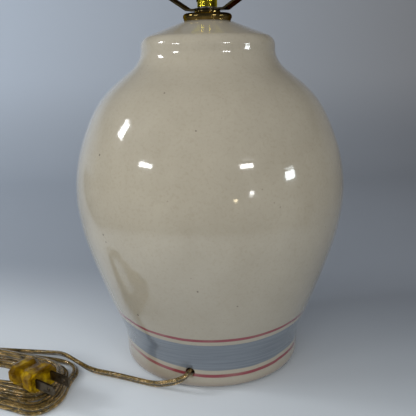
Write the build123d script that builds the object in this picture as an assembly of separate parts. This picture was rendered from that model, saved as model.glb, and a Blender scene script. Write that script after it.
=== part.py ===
from build123d import *
import math
import os

# Table lamp base: a glazed stoneware jar on a threaded pipe, with brass fittings,
# a turn-knob bulb socket above, and a twin cord that leaves through the foot.
# Units are millimetres. The origin is the centre of the foot's flat face and +Z is up.
# The cord leaves towards -Y.

# Jar outline
jar_height = 249.3
belly_radius = 97.8
belly_height = 132.0
foot_radius = 66.5
foot_height = 13.0
foot_edge_round = 7.5
foot_ring_width = 12.0
foot_ring_lip = 5.0
collar_radius = 47.4
collar_wall_height = 8.6
cone_rise = 11.7
rim_round = 8.0
mouth_radius = 16.4
jar_wall = 7.0
mouth_bore_radius = 7.0
register_radius = 14.4
register_height = 2.4

# Height and radius shares of the jar's flanks, from the foot to the belly and on to the collar
lower_flank_shares = [
    (0.059, 0.019),
    (0.113, 0.062),
    (0.193, 0.169),
    (0.294, 0.316),
    (0.412, 0.482),
    (0.555, 0.671),
    (0.798, 0.923),
]
upper_flank_shares = [
    (0.278, 0.925),
    (0.433, 0.823),
    (0.546, 0.726),
    (0.649, 0.607),
    (0.747, 0.437),
    (0.830, 0.246),
    (0.887, 0.113),
    (0.933, 0.044),
]

# Recess under the jar, and the hole for the cord
recess_height = 30.0
foot_wall = 8.5
recess_round = 4.0
floor_thickness = 7.0
cord_hole_radius = 3.3
cord_hole_height = 13.8

# Fits
cut_overrun = 1.0
thread_clearance = 0.1
slip_clearance = 0.25
running_clearance = 0.08

# Lamp pipe and what clamps the jar to it
pipe_radius = 4.85
pipe_bore_radius = 3.3
pipe_below_nut = 2.7
cushion_radius = 14.5
cushion_thickness = 2.0
clamp_washer_radius = 15.5
clamp_washer_thickness = 1.6
lock_washer_radius = 8.0
lock_washer_thickness = 1.0
lock_washer_teeth = 12
lock_washer_slot = 0.9
nut_across_flats = 14.3
nut_height = 4.2
nut_chamfer = 0.9
bushing_radius = 6.0
bushing_lip = 1.5
bushing_sleeve = 2.2
bushing_hole_radius = 3.0

# Brass cap on the jar's mouth
cap_corner_radius = 18.0
cap_lip_radius = 16.3
cap_height = 5.0
cap_round = 2.3
cap_sheet = 0.8
cap_seat_gap = 0.15

# Check ring and harp saddle
check_ring_radius = 9.1
check_ring_thickness = 1.9
check_ring_round = 0.6
saddle_thickness = 1.4
saddle_width = 9.5
saddle_disc_radius = 9.1
saddle_flat_half = 14.6
saddle_arm_reach = 31.5
saddle_arm_slope = 31.0
saddle_height = 34.0
saddle_bend_round = 3.0
saddle_turn = -15.0
tongue_width = 6.2
tongue_height = 11.0
tongue_round = 1.6
saddle_washer_radius = 6.6
saddle_washer_thickness = 0.8

# Bulb socket: brass cap with its hub
hub_radius = 6.95
hub_height = 9.2
hub_thread_depth = 8.0
socket_sheet = 0.55
socket_cap_radius = 16.6
socket_dome_rise = 8.2
socket_skirt = 5.4
dome_round = 4.0
hub_flare_round = 2.5
set_screw_radius = 1.6
set_screw_height = 5.2
set_screw_stand = 0.6
set_screw_bite = 0.1
set_screw_slot = 0.5
set_screw_turn = 193.5

# Bulb socket: shell, liner, body and contacts
shell_radius = 15.85
shell_height = 48.0
shell_lap = 4.6
shell_bead = 0.7
shell_bead_width = 3.2
shell_bead_height = 24.0
shell_curl = 1.0
liner_thickness = 0.7
liner_short = 1.6
socket_body_radius = 14.1
socket_body_height = 18.0
terminal_pocket_width = 9.0
terminal_pocket_height = 11.0
terminal_pocket_floor = 9.2
terminal_plate_thickness = 0.8
terminal_plate_width = 7.0
terminal_plate_height = 10.0
terminal_screw_rise = 6.0
terminal_head_radius = 2.8
terminal_head_thickness = 1.8
terminal_shank_radius = 1.5
terminal_shank_length = 3.6
terminal_slot = 0.6
screw_shell_radius = 13.75
screw_shell_height = 23.0
screw_shell_sheet = 0.45
screw_shell_floor_hole = 7.0
screw_shell_lip = 0.4
contact_width = 4.2
contact_length = 9.0
contact_rise = 1.1
contact_sheet = 0.5
contact_bend_round = 1.2

# Turn switch
switch_height = 8.5
switch_shaft_radius = 2.1
switch_shaft_inside = 11.0
switch_shaft_reach = 25.5
switch_hole_radius = 3.0
knob_radius = 5.7
knob_end_radius = 4.7
knob_length = 13.5
knob_gap = 2.8
knob_round = 1.2
knob_flutes = 14
knob_flute_radius = 0.7

# Twin lamp cord, drawn as a round tube of the cord's width
cord_width = 5.3
cord_radius = cord_width / 2
conductor_radius = 1.15
conductor_pitch = 2.5
cord_layer_step = 5.8

# Free cord from the recess to the hank: points chosen along the route
lead_points = [
    (0.0, -56.0, cord_hole_height),
    (0.0, -70.8, cord_hole_height),
    (-6.8, -74.4, 10.4),
    (-15.0, -71.8, 6.2),
    (-25.0, -69.4, 2.8),
    (-41.0, -66.2, cord_radius),
    (-59.5, -63.0, cord_radius),
    (-77.4, -60.8, cord_radius),
    (-92.4, -46.7, cord_radius),
]
lead_last_run = 11.0
exit_shrink = 0.45

# Cord inside the jar: from the hole across the recess and up the pipe
inner_points = [
    (0.0, -44.0, cord_hole_height),
    (0.0, -24.0, 7.2),
    (0.0, 0.0, 7.2),
]
inner_radii = [26.5, 26.5, 8.5]

# Hank: an open oval coil of half turns about two centres, in two layers
hank_right = (-116.0, -83.5)
hank_left = (-180.6, -77.6)
hank_entry_radius = 40.3
hank_entry_run = 8.0
hank_last_swing = 14.0
lower_left_radii = [34.0, 28.2, 22.4, 16.6]
lower_right_radii = [34.5, 28.7, 22.9]
upper_left_radii = [21.2, 28.0]
upper_right_radii = [17.1, 23.3]

# Tail from the hank, up over its turns, to the back of the plug
tail_route = [
    (-174.0, -106.4, 12.6),
    (-163.0, -105.0, 17.0),
    (-151.0, -99.6, 19.0),
    (-138.4, -92.6, 18.9),
]
tail_first_run = 7.5
tail_last_run = 10.0

# Plug: moulded body with two blades, lying on the hank
plug_front = (-90.3, -103.6)
plug_turn = -20.5
plug_thickness = 14.0
plug_width = 23.0
plug_length = 28.0
plug_seat_gap = 0.3
blade_width = 6.35
blade_thickness = 1.5
blade_length = 16.8
blade_spacing = 12.7
blade_root = 7.0
blade_hole_radius = 1.6
blade_hole_from_face = 11.9
blade_tip_chamfer = 1.2

# Length, width and thickness shares of the plug's cross sections, from the cord end to the face
plug_grip_shares = [(0.0, 0.42, 0.60), (0.16, 0.78, 0.86), (0.42, 1.0, 1.0), (0.66, 0.82, 0.86)]
plug_flange_shares = [(0.66, 0.82, 0.86), (0.82, 1.02, 1.0), (1.0, 1.0, 0.98)]
plug_corner_share = 0.38

# Heights that follow from the sizes above
recess_radius = foot_radius - foot_wall
rim_corner_height = jar_height - cone_rise
collar_foot_height = rim_corner_height - collar_wall_height
floor_top = recess_height + floor_thickness
clamp_washer_base = recess_height - cushion_thickness - clamp_washer_thickness
lock_washer_base = clamp_washer_base - lock_washer_thickness
nut_base = lock_washer_base - nut_height
pipe_bottom = nut_base - pipe_below_nut
cap_top = jar_height + cap_height
check_ring_top = cap_top + check_ring_thickness
saddle_top = check_ring_top + saddle_thickness
hub_base = saddle_top + saddle_washer_thickness
hub_top = hub_base + hub_height
pipe_top = hub_base + hub_thread_depth
dome_top = hub_top + socket_dome_rise
socket_cap_top = dome_top + socket_skirt
shell_base = socket_cap_top - shell_lap
shell_top = shell_base + shell_height
body_base = shell_base + socket_sheet
body_top = body_base + socket_body_height
switch_level = body_base + switch_height
terminal_level = body_base + terminal_screw_rise
liner_radius = shell_radius - socket_sheet - slip_clearance / 2
layer_heights = [cord_radius, cord_radius + cord_layer_step]
plug_level = layer_heights[1] + cord_radius + plug_seat_gap + plug_thickness / 2


def turned(edges):
    """Turn a closed outline, given as (radius, height) edges, about Z."""
    return revolve(Plane.XZ * make_face(edges), axis=Axis.Z)


def spun(line, sheet):
    """Spin sheet metal of one thickness along a (radius, height) line about Z."""
    return revolve(Plane.XZ * trace(line, line_width=sheet), axis=Axis.Z)


def ring(outer, bore, base, thickness):
    """A flat ring standing on the given height."""
    blank = Cylinder(outer, thickness) - Cylinder(bore, thickness + cut_overrun)
    return Pos(0, 0, base + thickness / 2) * blank


def toothed_ring(outer, bore, base, thickness, teeth, slot):
    """A lock washer: a ring with slots cut in from its rim."""
    depth = (outer - bore) / 2
    cutter = Box(depth, slot, thickness + cut_overrun)
    slots = [place * cutter for place in PolarLocations(outer, teeth)]
    return ring(outer, bore, base, thickness) - [Pos(0, 0, base + thickness / 2) * s for s in slots]


def corner_radius(before, corner, after):
    """The largest easy arc at a corner of a cord's route."""
    first = Vector(*corner) - Vector(*before)
    second = Vector(*after) - Vector(*corner)
    turn = math.radians(first.get_angle(second))
    return exit_shrink * min(first.length, second.length) / math.tan(turn / 2)


def route_radii(points):
    """An arc radius for each inner corner of a route."""
    triples = zip(points, points[1:], points[2:])
    return [corner_radius(a, b, c) for a, b, c in triples]


def round_tube(path, radius):
    """Sweep a round section along a path."""
    start = Plane(origin=path @ 0, z_dir=path % 0)
    return sweep(start * Circle(radius), path=path)


def flank_points(shares, low_height, high_height, low_radius, high_radius, inset):
    """Outline points between two heights of the jar, set in by a wall."""
    rise = high_height - low_height
    spread = high_radius - low_radius
    return [(low_radius + r * spread - inset, low_height + h * rise) for h, r in shares]


def flank(inset):
    """The jar's flank from the foot over the belly to the collar."""
    lower = flank_points(lower_flank_shares, foot_height, belly_height, foot_radius, belly_radius, inset)
    upper = flank_points(upper_flank_shares, belly_height, collar_foot_height, collar_radius, belly_radius, inset)
    start = (foot_radius - inset, foot_height)
    belly = (belly_radius - inset, belly_height)
    end = (collar_radius - inset, collar_foot_height)
    return Spline([start, *lower, belly, *upper, end], tangents=[(0, 1), (0, 1)])


def make_jar():
    foot = FilletPolyline((0, 0), (foot_radius, 0), (foot_radius, foot_height), radius=foot_edge_round)
    collar = FilletPolyline(
        (collar_radius, collar_foot_height),
        (collar_radius, rim_corner_height),
        (mouth_radius, jar_height),
        radius=rim_round,
    )
    lid = Polyline((mouth_radius, jar_height), (0, jar_height), (0, 0))
    solid = turned(foot + flank(0) + collar + lid)
    solid += Pos(0, 0, jar_height + register_height / 2) * Cylinder(register_radius, register_height)

    inner_radius = collar_radius - jar_wall
    inner_collar = FilletPolyline(
        (inner_radius, collar_foot_height),
        (inner_radius, rim_corner_height - jar_wall),
        (mouth_radius, jar_height - jar_wall),
        radius=rim_round / 5,
    )
    inner_lid = Polyline(
        (mouth_radius, jar_height - jar_wall),
        (0, jar_height - jar_wall),
        (0, foot_height),
        (foot_radius - jar_wall, foot_height),
    )
    cavity = turned(flank(jar_wall) + inner_collar + inner_lid)
    cavity -= Pos(0, 0, floor_top / 2) * Cylinder(belly_radius, floor_top)

    ring_radius = foot_radius - foot_ring_width
    recess_wall = FilletPolyline(
        (ring_radius, 0),
        (recess_radius, foot_ring_lip),
        (recess_radius, recess_height),
        (0, recess_height),
        radius=recess_round,
    )
    recess = turned(recess_wall + Polyline((0, recess_height), (0, 0), (ring_radius, 0)))
    bore = Pos(0, 0, jar_height / 2) * Cylinder(mouth_bore_radius, jar_height * 2)
    hole_length = foot_radius - recess_radius + cut_overrun * 4
    hole_middle = -(foot_radius + recess_radius) / 2
    hole = Pos(0, hole_middle, cord_hole_height) * Rot(90, 0, 0) * Cylinder(cord_hole_radius, hole_length)
    return solid - cavity - recess - bore - hole


def make_nut():
    hexagon = extrude(RegularPolygon(nut_across_flats / 2, 6, major_radius=False), nut_height)
    corner = nut_across_flats / math.sqrt(3)
    blank = Pos(0, 0, nut_height / 2) * Cylinder(corner, nut_height)
    blank = chamfer(blank.edges().filter_by(GeomType.CIRCLE), nut_chamfer)
    bore = Cylinder(pipe_radius + thread_clearance, nut_height * 3)
    return Pos(0, 0, nut_base) * ((hexagon & blank) - bore)


def make_pipe_bushing():
    sleeve = ring(bushing_radius, pipe_radius + thread_clearance, pipe_bottom, bushing_sleeve)
    lip = ring(bushing_radius, bushing_hole_radius, pipe_bottom - bushing_lip, bushing_lip)
    return sleeve + lip


def make_vase_cap():
    half = cap_sheet / 2
    line = FilletPolyline(
        (pipe_radius + slip_clearance, cap_top - half),
        (cap_corner_radius - half, cap_top - half),
        (cap_lip_radius - half, jar_height + cap_seat_gap),
        radius=cap_round - half,
    )
    return spun(line, cap_sheet)


def make_check_ring():
    blank = ring(check_ring_radius, pipe_radius + slip_clearance, cap_top, check_ring_thickness)
    rim = blank.edges().filter_by(GeomType.CIRCLE).sort_by(SortBy.RADIUS)[-2:]
    return fillet(rim, check_ring_round)


def make_saddle():
    rise = math.tan(math.radians(saddle_arm_slope)) * (saddle_arm_reach - saddle_flat_half)
    half = saddle_thickness / 2
    arm = [
        (0, half),
        (saddle_flat_half, half),
        (saddle_arm_reach, half + rise),
        (saddle_arm_reach, saddle_height),
    ]
    mirrored = [(-x, z) for x, z in reversed(arm[1:])]
    line = FilletPolyline(*mirrored, *arm[1:], radius=saddle_bend_round)
    strip = extrude(Plane.XZ * trace(line, line_width=saddle_thickness), saddle_width / 2, both=True)
    side = (saddle_width - tongue_width) / 2
    shoulder = Box(saddle_width, side, tongue_height + cut_overrun)
    for end in (-1, 1):
        for edge in (-1, 1):
            place = Pos(
                end * saddle_arm_reach,
                edge * (tongue_width + side) / 2,
                saddle_height - tongue_height / 2 + cut_overrun / 2,
            )
            strip -= place * shoulder
    tips = strip.edges().filter_by(Axis.X).group_by(Axis.Z)[-1]
    strip = fillet(tips, tongue_round)
    disc = Pos(0, 0, half) * Cylinder(saddle_disc_radius, saddle_thickness)
    bore = Cylinder(pipe_radius + slip_clearance, saddle_height)
    return Pos(0, 0, check_ring_top) * Rot(0, 0, saddle_turn) * (strip + disc - bore)


def make_socket_cap():
    half = socket_sheet / 2
    hub = ring(hub_radius, pipe_radius + thread_clearance, hub_base, hub_thread_depth)
    throat = ring(hub_radius, hub_radius - socket_sheet, hub_base + hub_thread_depth, hub_height - hub_thread_depth)
    line = FilletPolyline(
        (hub_radius - half, hub_top),
        (hub_radius - half, hub_top + hub_flare_round),
        (socket_cap_radius - half, dome_top),
        (socket_cap_radius - half, socket_cap_top),
        radius=hub_flare_round,
    )
    cap = hub + throat + spun(line, socket_sheet)
    hole = Pos(hub_radius, 0, hub_base + set_screw_height) * Rot(0, 90, 0)
    hole = hole * Cylinder(set_screw_radius + thread_clearance, hub_radius)
    return cap - Rot(0, 0, set_screw_turn) * hole


def make_set_screw():
    inner = pipe_radius + set_screw_bite
    length = hub_radius + set_screw_stand - inner
    screw = Pos(inner + length / 2, 0, 0) * Rot(0, 90, 0) * Cylinder(set_screw_radius, length)
    slot = Pos(inner + length, 0, 0) * Box(set_screw_slot * 2, set_screw_radius * 3, set_screw_slot)
    return Rot(0, 0, set_screw_turn) * Pos(0, 0, hub_base + set_screw_height) * (screw - slot)


def make_side_hole(length):
    """A round hole along +Y for the switch's shaft."""
    return Pos(0, length / 2, switch_level) * Rot(90, 0, 0) * Cylinder(switch_hole_radius, length)


def make_socket_shell():
    wall = shell_radius - socket_sheet / 2
    bead_low = shell_base + shell_bead_height
    bead_high = bead_low + shell_bead_width
    curl_start = shell_top - shell_curl
    line = Line((wall, shell_base), (wall, bead_low))
    line += ThreePointArc((wall, bead_low), (wall + shell_bead, (bead_low + bead_high) / 2), (wall, bead_high))
    line += Line((wall, bead_high), (wall, curl_start))
    lean = shell_curl * (1 - math.sqrt(0.5))
    line += ThreePointArc(
        (wall, curl_start),
        (wall - lean, shell_top - lean),
        (wall - shell_curl, shell_top),
    )
    return spun(line, socket_sheet) - make_side_hole(shell_radius * 2)


def make_shell_liner():
    height = shell_height - liner_short - shell_curl
    blank = ring(liner_radius, liner_radius - liner_thickness, shell_base, height)
    return blank - make_side_hole(shell_radius * 2)


def make_socket_body():
    body = Pos(0, 0, body_base + socket_body_height / 2) * Cylinder(socket_body_radius, socket_body_height)
    depth = socket_body_radius - terminal_pocket_floor
    pocket = Box(depth * 2, terminal_pocket_width, terminal_pocket_height)
    shank_hole = Rot(0, 90, 0) * Cylinder(terminal_shank_radius + thread_clearance, terminal_pocket_floor * 2)
    for side in (-1, 1):
        body -= Pos(side * socket_body_radius, 0, body_base + terminal_pocket_height / 2) * pocket
    inner = terminal_pocket_floor - terminal_shank_length
    for side in (-1, 1):
        middle = side * (inner + terminal_pocket_floor)
        body -= Pos(middle, 0, terminal_level) * shank_hole
    shaft_bore = Rot(90, 0, 0) * Cylinder(switch_shaft_radius + running_clearance, switch_shaft_inside * 2)
    return body - Pos(0, socket_body_radius, switch_level) * shaft_bore


def make_screw_shell():
    half = screw_shell_sheet / 2
    wall = screw_shell_radius - half
    line = FilletPolyline(
        (screw_shell_floor_hole, body_top + half),
        (wall, body_top + half),
        (wall, body_top + screw_shell_height),
        radius=screw_shell_lip * 3,
    )
    lip = ring(screw_shell_radius + screw_shell_lip, screw_shell_radius - screw_shell_sheet,
               body_top + screw_shell_height, screw_shell_sheet)
    return spun(line, screw_shell_sheet) + lip


def make_contact():
    half = contact_sheet / 2
    start = -contact_length / 2
    line = FilletPolyline(
        (start, half),
        (start / 3, half),
        (-start * 2 / 3, half + contact_rise),
        (-start, half + contact_rise * 2 / 3),
        radius=contact_bend_round,
    )
    strip = extrude(Plane.XZ * trace(line, line_width=contact_sheet), contact_width / 2, both=True)
    return Pos(0, 0, body_top) * strip


def make_terminal_plates():
    plate = Box(terminal_plate_thickness, terminal_plate_width, terminal_plate_height)
    hole = Rot(0, 90, 0) * Cylinder(terminal_shank_radius + thread_clearance, terminal_plate_thickness * 2)
    level = body_base + terminal_pocket_height - terminal_plate_height / 2
    plates = []
    for side in (-1, 1):
        x = side * (terminal_pocket_floor + terminal_plate_thickness / 2)
        plates.append(Pos(x, 0, level) * plate - Pos(x, 0, terminal_level) * hole)
    return Compound(plates)


def make_terminal_screws():
    head_base = terminal_pocket_floor + terminal_plate_thickness
    screws = []
    for side in (-1, 1):
        shank_length = terminal_shank_length + terminal_plate_thickness
        shank = Pos(head_base - shank_length / 2, 0, 0) * Rot(0, 90, 0) * Cylinder(terminal_shank_radius, shank_length)
        head = Pos(head_base + terminal_head_thickness / 2, 0, 0)
        head = head * Rot(0, 90, 0) * Cylinder(terminal_head_radius, terminal_head_thickness)
        slot = Pos(head_base + terminal_head_thickness, 0, 0)
        slot = slot * Box(terminal_slot * 2, terminal_head_radius * 3, terminal_slot)
        turn = Rot(0, 0, 0) if side > 0 else Rot(0, 0, 180)
        screws.append(turn * Pos(0, 0, terminal_level) * (shank + head - slot))
    return Compound(screws)


def make_switch_shaft():
    start = socket_body_radius - switch_shaft_inside + slip_clearance
    length = switch_shaft_reach - start
    return Pos(0, start + length / 2, switch_level) * Rot(90, 0, 0) * Cylinder(switch_shaft_radius, length)


def make_switch_knob():
    outline = Polyline(
        (0, 0),
        (knob_radius, 0),
        (knob_end_radius, knob_length),
        (0, knob_length),
        (0, 0),
    )
    knob = turned(outline)
    knob = fillet(knob.edges().filter_by(GeomType.CIRCLE).group_by(Axis.Z)[-1], knob_round)
    flute = Cylinder(knob_flute_radius, knob_length * 3)
    knob -= [place * flute for place in PolarLocations(knob_radius, knob_flutes)]
    base = shell_radius + knob_gap
    socket_depth = switch_shaft_reach - base
    knob -= Pos(0, 0, socket_depth / 2) * Cylinder(switch_shaft_radius, socket_depth)
    return Pos(0, base, switch_level) * Rot(-90, 0, 0) * knob


def make_inner_cord():
    start = lead_points[0]
    points = [start, *inner_points, (0, 0, cord_split_level)]
    return round_tube(FilletPolyline(*points, radius=inner_radii), cord_radius)


def make_socket_leads():
    x = terminal_pocket_floor + terminal_plate_thickness + conductor_radius + thread_clearance
    low = body_base - conductor_radius - slip_clearance
    end = terminal_level - terminal_head_radius - slip_clearance
    leads = []
    for side in (-1, 1):
        near = side * conductor_pitch / 2
        far = side * x
        knee = (low + cord_split_level) / 2
        path = FilletPolyline(
            (near, 0, cord_split_level),
            (near, 0, knee),
            (far, 0, low),
            (far, 0, end),
            radius=conductor_radius * 1.3,
        )
        leads.append(round_tube(path, conductor_radius))
    return Compound(leads)


def hank_normal(upper, right_radius, left_radius, along):
    """The outward normal of the run that touches both end circles, given the line of their centres."""
    axis = along.normalized()
    side = Vector(-axis.Y, axis.X, 0) * (1 if upper else -1)
    lean = (left_radius - right_radius) / along.length
    return axis * lean + side * math.sqrt(1 - lean * lean)


def hank_path():
    """One unbroken line: spiral in on the floor, climb along a run, spiral out on top."""
    lefts = lower_left_radii + upper_left_radii
    rights = lower_right_radii + upper_right_radii
    centre_right = Vector(*hank_right, 0)
    centre_left = Vector(*hank_left, 0)
    along = centre_right - centre_left
    out = along.normalized()
    last = len(lefts) - 1
    right_before = hank_entry_radius
    lift = Vector(0, 0, layer_heights[0])
    edges = []
    here = None
    for index, left in enumerate(lefts):
        if index == last:
            centre_left -= out * hank_last_swing
            along = centre_right - centre_left
        normal = hank_normal(True, right_before, left, along)
        there = centre_left + normal * left + lift
        if here is None:
            start = centre_right + normal * right_before + lift
            here = start + (there - start).normalized() * hank_entry_run
        edges.append(Line(here, there))
        right = left if index == last else rights[index]
        leaving = hank_normal(False, right, left, along)
        here = centre_left + leaving * left + lift
        edges += quarter_turns(centre_left + lift, left, there, centre_left - out * left + lift, here)
        if index == last:
            edges.append(Line(here, here + out * cord_width))
            return Wire(edges)
        if index == len(lower_left_radii) - 1:
            lift = Vector(0, 0, layer_heights[1])
            goal = centre_right + leaving * right + lift
            edges += climb(here, goal)
        else:
            goal = centre_right + leaving * right + lift
            edges.append(Line(here, goal))
        next_swing = out * (hank_last_swing if index + 1 == last else 0)
        normal = hank_normal(True, right, lefts[index + 1], along + next_swing)
        here = centre_right + normal * right + lift
        edges += quarter_turns(centre_right + lift, right, goal, centre_right + out * right + lift, here)
        right_before = right


def quarter_turns(centre, radius, start, middle, end):
    """A half turn as two arcs that meet at its middle."""
    first = ((start + middle) / 2 - centre).normalized() * radius + centre
    second = ((middle + end) / 2 - centre).normalized() * radius + centre
    return [ThreePointArc(start, first, middle), ThreePointArc(middle, second, end)]


def climb(start, goal):
    """Two equal arcs in an upright plane that leave and arrive level."""
    flat = Vector(goal.X - start.X, goal.Y - start.Y, 0)
    rise = goal.Z - start.Z
    radius = (flat.length ** 2 + rise ** 2) / (4 * rise)
    half_turn = math.asin(flat.length / 2 / radius) / 2
    ahead = flat.normalized() * radius * math.sin(half_turn)
    lift = Vector(0, 0, radius * (1 - math.cos(half_turn)))
    middle = (start + goal) / 2
    return [ThreePointArc(start, start + ahead + lift, middle), ThreePointArc(middle, goal - ahead - lift, goal)]


def least_gap(path, diameter):
    """The least free space between stretches of a wound tube."""
    count = int(path.length / (diameter / 3))
    step = path.length / count
    points = [path.position_at(i / count) for i in range(count + 1)]
    apart = int(diameter * 5 / step)
    spots = [(p.X, p.Y, p.Z) for p in points]
    nearest = min(math.dist(a, b) for i, a in enumerate(spots) for b in spots[i + apart:])
    return nearest - diameter


def make_plug():
    """The plug in its own frame: the face at X = 0, the cord end towards -X."""
    def section(share):
        along, width_share, thickness_share = share
        width = plug_width * width_share
        thickness = plug_thickness * thickness_share
        outline = RectangleRounded(width, thickness, min(width, thickness) * plug_corner_share)
        place = Plane(origin=(-plug_length * (1 - along), 0, 0), x_dir=(0, 1, 0), z_dir=(1, 0, 0))
        return place * outline

    grip = loft([section(s) for s in plug_grip_shares])
    flange = loft([section(s) for s in plug_flange_shares])
    blade = Pos((blade_length - blade_root) / 2, 0, 0) * Box(blade_length + blade_root, blade_thickness, blade_width)
    tip = blade.edges().filter_by(Axis.Y).group_by(Axis.X)[-1]
    blade = chamfer(tip, blade_tip_chamfer)
    blade -= Pos(blade_hole_from_face, 0, 0) * Rot(90, 0, 0) * Cylinder(blade_hole_radius, blade_width)
    blades = [Pos(0, side * blade_spacing / 2, 0) * blade for side in (-1, 1)]
    return grip + flange - blades, blades


def tail_points():
    """From the hank's last run up and over the turns into the back of the plug."""
    place = plug_place()
    back = place * Pos(-plug_length, 0, 0)
    near = place * Pos(-plug_length - tail_last_run, 0, 0)
    end = hank_line @ 1
    onward = end + (hank_line % 1) * tail_first_run
    return [tuple(end), tuple(onward), *tail_route, tuple(near.position), tuple(back.position)]




def plug_place():
    return Pos(plug_front[0], plug_front[1], plug_level) * Rot(0, 0, plug_turn)


cord_split_level = pipe_top + cut_overrun * 1.5

hank_line = hank_path()
plug_body, plug_blades = make_plug()
hank_start = hank_line @ 0
lead_line_points = [*lead_points, tuple(hank_start - (hank_line % 0) * lead_last_run), tuple(hank_start)]
lead_radii = route_radii(lead_line_points)
lead_line = FilletPolyline(*lead_line_points, radius=lead_radii)
tail_line_points = tail_points()
tail_radii = route_radii(tail_line_points)
tail_line = FilletPolyline(*tail_line_points, radius=tail_radii)

lock_washer_sizes = (lock_washer_thickness, lock_washer_teeth, lock_washer_slot)
pipe_hole = pipe_radius + slip_clearance

nodes = {
    "ceramic_body": make_jar(),
    "threaded_pipe": ring(pipe_radius, pipe_bore_radius, pipe_bottom, pipe_top - pipe_bottom),
    "cushion_washer": ring(cushion_radius, pipe_hole, recess_height - cushion_thickness, cushion_thickness),
    "clamp_washer": ring(clamp_washer_radius, pipe_hole, clamp_washer_base, clamp_washer_thickness),
    "clamp_lock_washer": toothed_ring(lock_washer_radius, pipe_hole, lock_washer_base, *lock_washer_sizes),
    "clamp_nut": make_nut(),
    "pipe_end_bushing": make_pipe_bushing(),
    "vase_cap": make_vase_cap(),
    "check_ring": make_check_ring(),
    "harp_saddle": make_saddle(),
    "saddle_lock_washer": ring(saddle_washer_radius, pipe_hole, saddle_top, saddle_washer_thickness),
    "socket_cap": make_socket_cap(),
    "hub_set_screw": make_set_screw(),
    "socket_shell": make_socket_shell(),
    "shell_liner": make_shell_liner(),
    "socket_body": make_socket_body(),
    "screw_shell": make_screw_shell(),
    "centre_contact": make_contact(),
    "terminal_plates": make_terminal_plates(),
    "terminal_screws": make_terminal_screws(),
    "switch_shaft": make_switch_shaft(),
    "switch_knob": make_switch_knob(),
    "inner_cord": make_inner_cord(),
    "socket_leads": make_socket_leads(),
    "cord_lead": round_tube(lead_line, cord_radius),
    "cord_hank": round_tube(hank_line, cord_radius),
    "cord_tail": round_tube(tail_line, cord_radius),
    "plug_body": plug_place() * plug_body,
    "plug_blades": Compound([plug_place() * blade for blade in plug_blades]),
}

os.makedirs("parts", exist_ok=True)
for name, shape in nodes.items():
    export_step(shape, f"parts/{name}.step")

section_area = math.pi * cord_radius ** 2
for name, line in (("cord_lead", lead_line), ("cord_hank", hank_line), ("cord_tail", tail_line)):
    share = nodes[name].volume / (section_area * line.length)
    print(f"{name}: length {line.length:.1f} mm, volume share {share:.4f}")
print("lead arc radii", [round(r, 1) for r in lead_radii])
print("tail arc radii", [round(r, 1) for r in tail_radii])
print(f"hank least gap {least_gap(hank_line, cord_width):.2f} mm")
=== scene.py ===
import math
import random

import bmesh
import bpy
from mathutils import Matrix, Vector


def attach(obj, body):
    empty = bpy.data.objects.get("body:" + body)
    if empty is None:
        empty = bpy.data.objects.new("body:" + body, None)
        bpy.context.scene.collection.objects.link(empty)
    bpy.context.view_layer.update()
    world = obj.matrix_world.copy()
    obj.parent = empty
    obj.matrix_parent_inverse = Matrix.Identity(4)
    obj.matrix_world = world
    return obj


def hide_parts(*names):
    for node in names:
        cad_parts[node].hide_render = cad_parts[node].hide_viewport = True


# Jar lamp base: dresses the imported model, adds the thrown jar, the twin cord and the plug
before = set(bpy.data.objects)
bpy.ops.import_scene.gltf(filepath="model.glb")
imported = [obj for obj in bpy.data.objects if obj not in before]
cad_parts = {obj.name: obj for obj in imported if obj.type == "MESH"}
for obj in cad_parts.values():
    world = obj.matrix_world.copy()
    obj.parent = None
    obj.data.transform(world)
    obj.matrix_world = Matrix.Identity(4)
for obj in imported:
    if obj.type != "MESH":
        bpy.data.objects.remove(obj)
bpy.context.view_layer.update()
scene = bpy.context.scene
scene.view_settings.view_transform = "Standard"
print("frame loaded, nodes:", len(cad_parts))

weldGap = 1e-6   # metres; vertices closer than this become one


def addObject(name, data):
    ob = bpy.data.objects.new(name, data)
    scene.collection.objects.link(ob)
    return ob


def finishMesh(name, bm, smooth=True, sharpAngle=38):
    bmesh.ops.remove_doubles(bm, verts=bm.verts, dist=weldGap)
    bmesh.ops.recalc_face_normals(bm, faces=bm.faces)
    for face in bm.faces:
        face.smooth = smooth
    for edge in bm.edges:
        if len(edge.link_faces) == 2 and edge.calc_face_angle() > math.radians(sharpAngle):
            edge.smooth = False
    mesh = bpy.data.meshes.new(name)
    bm.to_mesh(mesh)
    bm.free()
    return addObject(name, mesh)


def spinProfile(points, steps):
    # points are (radius, height); a closed ring of them makes a shape with no poles
    bm = bmesh.new()
    verts = [bm.verts.new((r, 0, z)) for r, z in points]
    edges = [bm.edges.new((a, b)) for a, b in zip(verts, verts[1:] + verts[:1])]
    bmesh.ops.spin(bm, geom=verts + edges, cent=(0, 0, 0), axis=(0, 0, 1), angle=2 * math.pi,
                   steps=steps, use_merge=True)
    return bm


def dress(ob, mat):
    ob.data.materials.clear()
    ob.data.materials.append(mat)


def newMaterial(name):
    mat = bpy.data.materials.new(name)
    mat.use_nodes = True
    nodes = mat.node_tree.nodes
    return mat, nodes, mat.node_tree.links, nodes["Principled BSDF"]


def setInputs(node, values):
    for name, value in values.items():
        node.inputs[name].default_value = value


def objectCoords(nodes, links, scale=(1, 1, 1), turn=(0, 0, 0)):
    coords = nodes.new("ShaderNodeTexCoord")
    place = nodes.new("ShaderNodeMapping")
    setInputs(place, {"Scale": scale, "Rotation": turn})
    links.new(coords.outputs["Object"], place.inputs["Vector"])
    return place.outputs["Vector"]


def splitVector(nodes, links, vector):
    node = nodes.new("ShaderNodeSeparateXYZ")
    links.new(vector, node.inputs["Vector"])
    return node.outputs


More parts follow.
